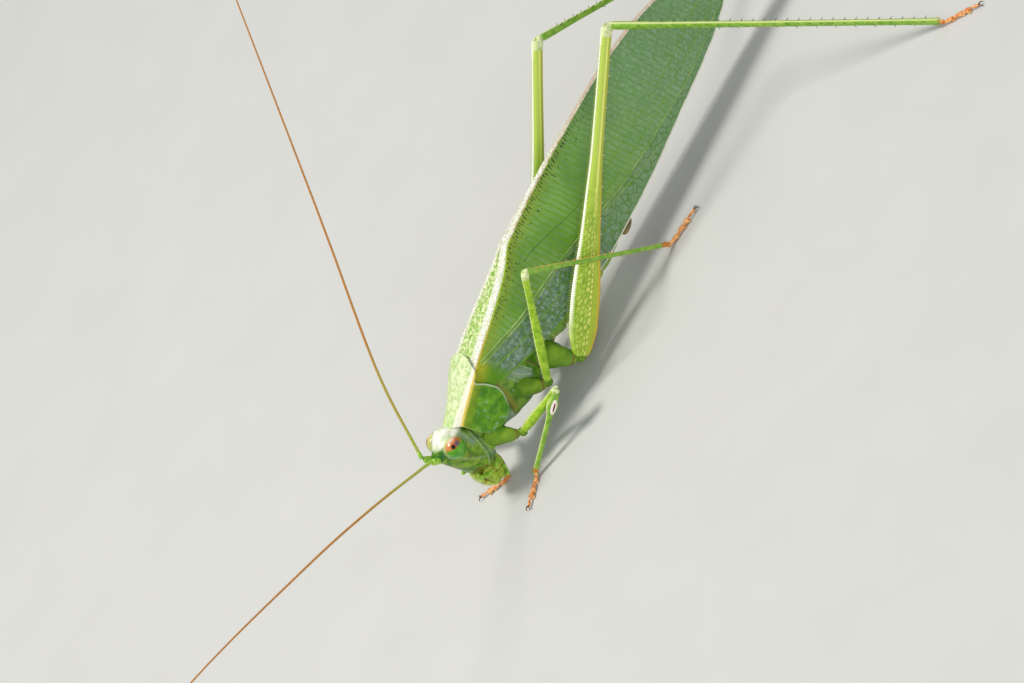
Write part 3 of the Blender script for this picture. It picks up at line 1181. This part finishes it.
def make_antenna(name, side):
    """Scape and pedicel at the base, then the long ringed thread."""
    bm = new_mesh()
    scape = sided(side, (-2.9, 0.48, 6.95), (-3.12, 0.53, 7.25), (-3.36, 0.6, 7.62))
    swell = through((0, 0.2), (0.25, 0.26), (0.75, 0.28), (1, 0.2))
    limb(bm, scape, lambda t, a: (swell(t), swell(t)), sides=24, rings=30, round_ends=0.1, up=BACKWARD)
    piece(f"scape_{name}_base", bm, [SCAPE], [f"scape_{name}"])

    bm = new_mesh()
    path = Path(ANTENNA[name])
    start, first = path.at(0)[0], path.at(0.012)[0]
    pedicel = Path([start.lerp(first, -0.25), first])
    limb(bm, pedicel, lambda t, a: (0.17 - 0.03 * t, 0.17 - 0.03 * t), sides=18, rings=16,
         round_ends=0.15, material=1)
    thick = through((0, 0.125), (0.1, 0.105), (0.5, 0.08), (1, 0.045))
    ring_length = 0.42
    count = int(path.length / ring_length)

    def section(t, angle):
        place = (t * count) % 1
        node = peak(place, 0.9, 0.1)
        size = thick(t) * (1 + 0.16 * node)
        return size, size

    limb(bm, path, section, sides=8, rings=count * 6, crowd=0.0, round_ends=0.002,
         mask=lambda t, angle: peak((t * count) % 1, 0.98, 0.1))
    piece(f"antenna_{name}_thread", bm, [FEELER, SCAPE], [f"antenna_{name}"])


# ---------------------------------------------------------------- legs

FEMUR_WIDTH = {
    "front": through((0, 0.24), (0.3, 0.37), (0.85, 0.28), (1, 0.3)),
    "middle": through((0, 0.27), (0.3, 0.36), (0.85, 0.25), (1, 0.3)),
    "hind": through((0, 0.34), (0.1, 0.46), (0.6, 0.34), (0.93, 0.3), (1, 0.33)),
}
HIND_HEIGHT = through(
    (0, 0.55), (0.03, 0.9), (0.1, 1.25), (0.17, 1.26), (0.26, 1.13), (0.36, 0.88), (0.48, 0.71),
    (0.63, 0.52), (0.93, 0.47), (1, 0.5),
)
COXA_GIRTH = {"front": 1.0, "middle": 1.05, "hind": 1.3}
SHIN_WIDTH = {"front": 0.2, "middle": 0.19, "hind": 0.24}

# Rows of spines on the shins: angles round the shin, count, length, paint, first and last place.
SHIN_SPINES = {
    "front": [((-2.2, -0.9), 6, 0.26, 2, 0.35, 0.96)],
    "middle": [((0.9, 2.2), 13, 0.2, 2, 0.06, 0.62), ((-0.9, -2.2), 13, 0.22, 2, 0.1, 0.96)],
    "hind": [((0.8, 2.34), 26, 0.26, 1, 0.08, 0.97), ((-0.8, -2.34), 12, 0.2, 1, 0.25, 0.95)],
}
SPUR_ANGLES = (0.8, 2.34, -0.8, -2.34)
EAR_PLACE = 0.2  # where the ears sit along a front shin
CLAW_ROOT = 0.93  # where the claws begin along a foot


def outward(path, t, angle):
    """The directions outward, at an angle round a limb, and along it."""
    _, along = path.at(t)
    across, over = crosswise(along)
    return across * math.cos(angle) + over * math.sin(angle), along


def femur_section(pair):
    """A thigh's section, with a raised ridge along its top and its underside."""
    def section(t, angle):
        wide = FEMUR_WIDTH[pair](t)
        tall = HIND_HEIGHT(t) if pair == "hind" else wide
        ridge = 0.07 * peak(math.sin(angle), 1, 0.12) + 0.05 * peak(math.sin(angle), -1, 0.12)
        flat = 1 - 0.08 * peak(math.cos(angle), 0.9, 0.3) - 0.08 * peak(math.cos(angle), -0.9, 0.3)
        return wide * flat, tall * (1 + ridge) - (0.03 if pair == "hind" else 0.0)

    return section


def thorn_row(bm, path, section, angles, count, length, radius, material, start, end, lean=0.7):
    """Adds rows of spines along a limb, at these angles round it, leaning toward its far end."""
    for angle in angles:
        for k in range(count):
            t = start + (end - start) * (k + 0.5) / count
            out, along = outward(path, t, angle)
            wide, tall = section(t, angle)
            size = math.hypot(wide * math.cos(angle), tall * math.sin(angle))
            foot = path.at(t)[0] + out * (size * 0.9)
            tip = foot + (out + along * lean).normalized() * length + out * size * 0.1
            thorn(bm, foot, tip, radius, material)


def make_leg(pair, name, side):
    """Coxa with trochanter, femur, tibia and foot of one leg."""
    joints = STANCE[pair][name]
    root, hip, knee, ankle, toe = (
        Vector((x, side * y, z)) for x, y, z in (
            STANCE[pair]["coxa"], joints["hip"], joints["knee"],
            (*joints["ankle"], ANKLE_HEIGHT), (*joints["toe"], SOLE),
        )
    )
    label = f"{pair}_{name}"

    bm = new_mesh()
    inside = root + Vector((-0.15, -side * 1.0, 0.25))
    coxa = Path([inside, root.lerp(hip, 0.45) + Vector((0, side * 0.06, 0)), hip.lerp(root, 0.06)])
    size = through((0, 1.1), (0.35, 0.94), (0.7, 0.62), (0.9, 0.42), (1, 0.34))

    def coxa_section(t, angle):
        flute = 1 - 0.09 * peak(math.sin(angle * 2 + 0.6), 1, 0.25)
        collar = 1 - 0.03 * peak(t, 0.6, 0.03) - 0.1 * peak(t, 0.86, 0.03)
        girth = COXA_GIRTH[pair] * flute * collar * size(t)
        return girth, girth * 0.94

    limb(bm, coxa, coxa_section, sides=48, rings=80, round_ends=0.12, mask=lambda t, a: peak(t, 0.86, 0.03))
    away = (knee - hip).normalized()
    bead(bm, hip - away * 0.22, hip + away * 0.5, 0.36, 0.4, sides=24, rings=20)
    piece(f"coxa_{label}_joint", bm, [COXA], [f"coxa_{label}"])

    make_femur(pair, label, hip, knee)
    make_tibia(pair, label, knee, ankle)
    make_foot(label, ankle, toe)


def make_femur(pair, label, hip, knee):
    """A thigh with toothed edges and a lobe on each side of the knee."""
    hind = pair == "hind"
    path = Path([hip.lerp(knee, 0.004), knee])
    section = femur_section(pair)
    knee_zone = 0.955 if hind else 0.93
    bm = new_mesh()
    sides, rings, round_ends = (64, 220, 0.012) if hind else (32, 70, 0.03)
    limb(bm, path, section, sides, rings, round_ends=round_ends,
         mask=lambda t, a: 0.95 * ease(t, knee_zone, knee_zone + 0.02) + 0.3 * ease(t, 0.03, 0.0))
    lobe = 0.5 if hind else 0.33
    width = FEMUR_WIDTH[pair](1)
    away = (knee - hip).normalized()
    across, over = crosswise(away)
    for cheek in (-1, 1):
        start = knee - away * lobe * 1.7 + across * (cheek * width * 0.7)
        end = knee + away * lobe * 0.4 + across * (cheek * width * 0.82) - over * lobe * 0.1
        bead(bm, start, end, 0.12, lobe * 0.72, material=2, sides=20, rings=18)
    top, under = math.pi / 2, -math.pi / 2
    teeth, length, below = (120, 0.17, 12) if hind else (22, 0.1, 8)
    thorn_row(bm, path, section, (top - 0.22, top + 0.22), teeth, length, 0.04, 1, 0.04, 0.94, lean=0.3)
    thorn_row(bm, path, section, (under - 0.3, under + 0.3), below, 0.16, 0.035, 1, 0.35, 0.92)
    paints = [HIND_FEMUR if hind else FEMUR, PALE_TOOTH, KNEE]
    piece(f"femur_{label}_thigh", bm, paints, [f"femur_{label}"])


def make_tibia(pair, label, knee, ankle):
    """A shin: square in section, spined, with the ear slits at the top of the front ones."""
    path = Path([knee, ankle])
    base = SHIN_WIDTH[pair]
    drum = 0.24 if pair == "front" else 0.0
    width = through(
        (0, 0.24), (0.03, 0.3), (0.07, base + 0.05), (0.2, base), (0.8, base * 0.92), (0.96, base),
        (1, base * 1.12),
    )

    def section(t, angle):
        corner = 1 + 0.1 * math.cos(4 * (angle - math.pi / 4))
        swell = drum * peak(t, EAR_PLACE, 0.1)
        slit = 0.12 * peak(t, EAR_PLACE, 0.05) * peak(abs(math.cos(angle)), 1, 0.12) if drum else 0
        return (width(t) + swell) * corner - slit, (width(t) + swell) * corner

    orange = 0.93 if pair != "hind" else 0.975
    bm = new_mesh()
    limb(bm, path, section, sides=32, rings=150 if pair == "hind" else 110, round_ends=0.012,
         mask=lambda t, a: 0.9 * ease(t, 0.035, 0.0) - ease(t, orange, orange + 0.04))
    if drum:
        for cheek in (0, math.pi):
            out, along = outward(path, EAR_PLACE, cheek)
            rim = path.at(EAR_PLACE)[0] + out * (base + drum - 0.12)
            slit = rim + out * 0.07
            bead(bm, rim - along * 0.62, rim + along * 0.62, 0.12, 0.26, material=3, sides=24, rings=24)
            bead(bm, slit - along * 0.4, slit + along * 0.4, 0.07, 0.1, material=4, sides=16, rings=18)
    for angles, count, length, material, start, end in SHIN_SPINES[pair]:
        thorn_row(bm, path, section, angles, count, length, 0.045, material, start, end)
    for angle in SPUR_ANGLES:
        out, along = outward(path, 0.985, angle)
        foot = path.at(0.985)[0] + out * base * 0.9
        tip = foot + (along + out * 0.5).normalized() * 0.36
        tip.z = max(tip.z, 0.02)
        thorn(bm, foot, tip, 0.06, 2)
    piece(f"tibia_{label}_shin", bm, [TIBIA, DARK_SPINE, SPINE, PALE_RIM, SLIT], [f"tibia_{label}"])


def make_foot(label, ankle, toe):
    """Four padded lengths lying flat on the ground, and a pair of hooked claws."""
    away = (toe - ankle).copy()
    away.z = 0
    reach = away.length
    away.normalize()
    across = UP.cross(away)
    heel = Vector((ankle.x, ankle.y, SOLE)) - away * 0.1
    bm = new_mesh()
    joints = (0.0, 0.3, 0.54, 0.7, CLAW_ROOT)
    flare = through((0, 0.62), (0.35, 0.72), (0.8, 1.0), (1, 0.82))
    for k, width in enumerate((0.19, 0.2, 0.26, 0.12)):
        start, end = joints[k:k + 2]
        padded = k < 3
        rise, flatness = (0.05, 0.9) if padded else (0.1, 1.0)
        path = Path([
            heel + away * (start * reach - 0.06) + UP * rise * (1.4 if k == 0 else 0.4),
            heel + away * ((start + end) / 2 * reach) + UP * rise * 0.5,
            heel + away * (end * reach),
        ])
        limb(bm, path, lambda t, a: (width * flare(t), min(0.2, width) * flare(t) * flatness), sides=20,
             rings=24, round_ends=0.16, mask=lambda t, a: ease(t, 0.12, 0.0))
        if padded:
            for cheek in (-1, 1):
                pad = heel + away * (end * reach - 0.1) + across * (cheek * width * 0.55)
                back, front = pad - away * 0.2 - UP * 0.1, pad + away * 0.14 - UP * 0.12
                bead(bm, back, front, width * 0.5, 0.09, material=1)
    wrist = heel + away * (CLAW_ROOT * reach)
    for cheek in (-1, 1):
        hook = Path([
            wrist - away * 0.05 + UP * 0.02,
            wrist + away * 0.14 + across * (cheek * 0.14) + UP * 0.06,
            wrist + away * 0.27 + across * (cheek * 0.2) - UP * 0.06,
            wrist + away * 0.3 + across * (cheek * 0.21) - UP * 0.17,
        ])
        limb(bm, hook, lambda t, a: (0.06 - 0.045 * t, 0.07 - 0.052 * t), sides=10, rings=18, material=2,
             round_ends=0.05)
    ball = Vector((ankle.x, ankle.y, 0.42))
    bead(bm, ball + UP * 0.26 - away * 0.05, ball - UP * 0.24 + away * 0.12, 0.19, up=away, sides=16)
    for vert in bm.verts:
        vert.co.z = max(vert.co.z, FLOOR_GAP)
    piece(f"tarsus_{label}_foot", bm, [FOOT, FOOT_PAD, CLAW], [f"tarsus_{label}"])


# ---------------------------------------------------------------- build

make_pronotum()
make_thorax()
make_abdomen()
make_tail()
make_head()
make_mouth()
for name, side in SIDES.items():
    make_eye(name, side)
    make_antenna(name, side)
    make_tegmen(name, side)
    make_hind_wing(name, side)
    for pair in STANCE:
        make_leg(pair, name, side)


# ---------------------------------------------------------------- floor, light and camera

BODY_MIDDLE = Vector((12, 0, 6))
LIGHTS = {
    "key": dict(place=(-60, 60, 340), size=90, power=0.95, color=(1, 0.98, 0.92)),
    "fill": dict(place=(-80, -300, 150), size=260, power=0.55, color=(0.98, 0.99, 1), mirrored=False),
    "rim": dict(place=(160, 160, 200), size=200, power=0.1),
}
SKY_COLOR, SKY_STRENGTH = (0.96, 0.98, 1.0, 1), 0.35
FLOOR_REACH = 2.0  # metres each way

IMAGE_WIDTH = 1024
PIXELS_PER_MM = 12.85
SENSOR = 36
CAMERA_TURN, CAMERA_RISE, CAMERA_ROLL = (math.radians(a) for a in (-12, 32, 55))
CAMERA_DISTANCE = 430
CAMERA_AIM = Vector((9.922, 9.544, 0))


def make_floor():
    bm = bmesh.new()
    bmesh.ops.create_grid(bm, x_segments=1, y_segments=1, size=FLOOR_REACH)
    mesh = bpy.data.meshes.new("floor")
    bm.to_mesh(mesh)
    bm.free()
    mesh.materials.append(paint_floor())
    floor = bpy.data.objects.new("floor", mesh)
    bpy.context.scene.collection.objects.link(floor)


def add_light(name, place, size, power, color=(1, 1, 1), mirrored=True):
    """A square soft light at a place in insect millimetres, turned to the body.

    A light that isn't mirrored leaves no highlight on glossy surfaces."""
    lamp = bpy.data.lights.new(name, "AREA")
    lamp.size = size * MM
    lamp.energy = power
    lamp.color = color
    light = bpy.data.objects.new(name, lamp)
    light.location = ORIGIN + Vector(place) * MM
    light.rotation_euler = (BODY_MIDDLE - Vector(place)).to_track_quat("-Z", "Y").to_euler()
    light.visible_glossy = mirrored
    bpy.context.scene.collection.objects.link(light)


def make_camera():
    """Looks from the left and above, rolled so that the insect climbs down the frame."""
    flat = math.cos(CAMERA_RISE)
    back = Vector((math.sin(CAMERA_TURN) * flat, -math.cos(CAMERA_TURN) * flat, math.sin(CAMERA_RISE)))
    level = Vector((math.cos(CAMERA_TURN), math.sin(CAMERA_TURN), 0))
    upright = back.cross(level)
    right = level * math.cos(CAMERA_ROLL) - upright * math.sin(CAMERA_ROLL)
    top = level * math.sin(CAMERA_ROLL) + upright * math.cos(CAMERA_ROLL)
    camera = bpy.data.cameras.new("camera")
    camera.sensor_width = SENSOR
    camera.lens = SENSOR * PIXELS_PER_MM / IMAGE_WIDTH * CAMERA_DISTANCE
    camera.clip_start = 0.02
    viewer = bpy.data.objects.new("camera", camera)
    spot = ORIGIN + (CAMERA_AIM + back * CAMERA_DISTANCE) * MM
    turn = Matrix((right, top, back)).transposed().to_4x4()
    viewer.matrix_world = Matrix.Translation(spot) @ turn
    bpy.context.scene.collection.objects.link(viewer)
    bpy.context.scene.camera = viewer


make_floor()
for name, settings in LIGHTS.items():
    add_light(name, **settings)
make_camera()

world = bpy.data.worlds.new("studio")
world.use_nodes = True
sky = world.node_tree.nodes["Background"].inputs
sky["Color"].default_value = SKY_COLOR
sky["Strength"].default_value = SKY_STRENGTH
bpy.context.scene.world = world
bpy.context.scene.view_settings.view_transform = "Standard"
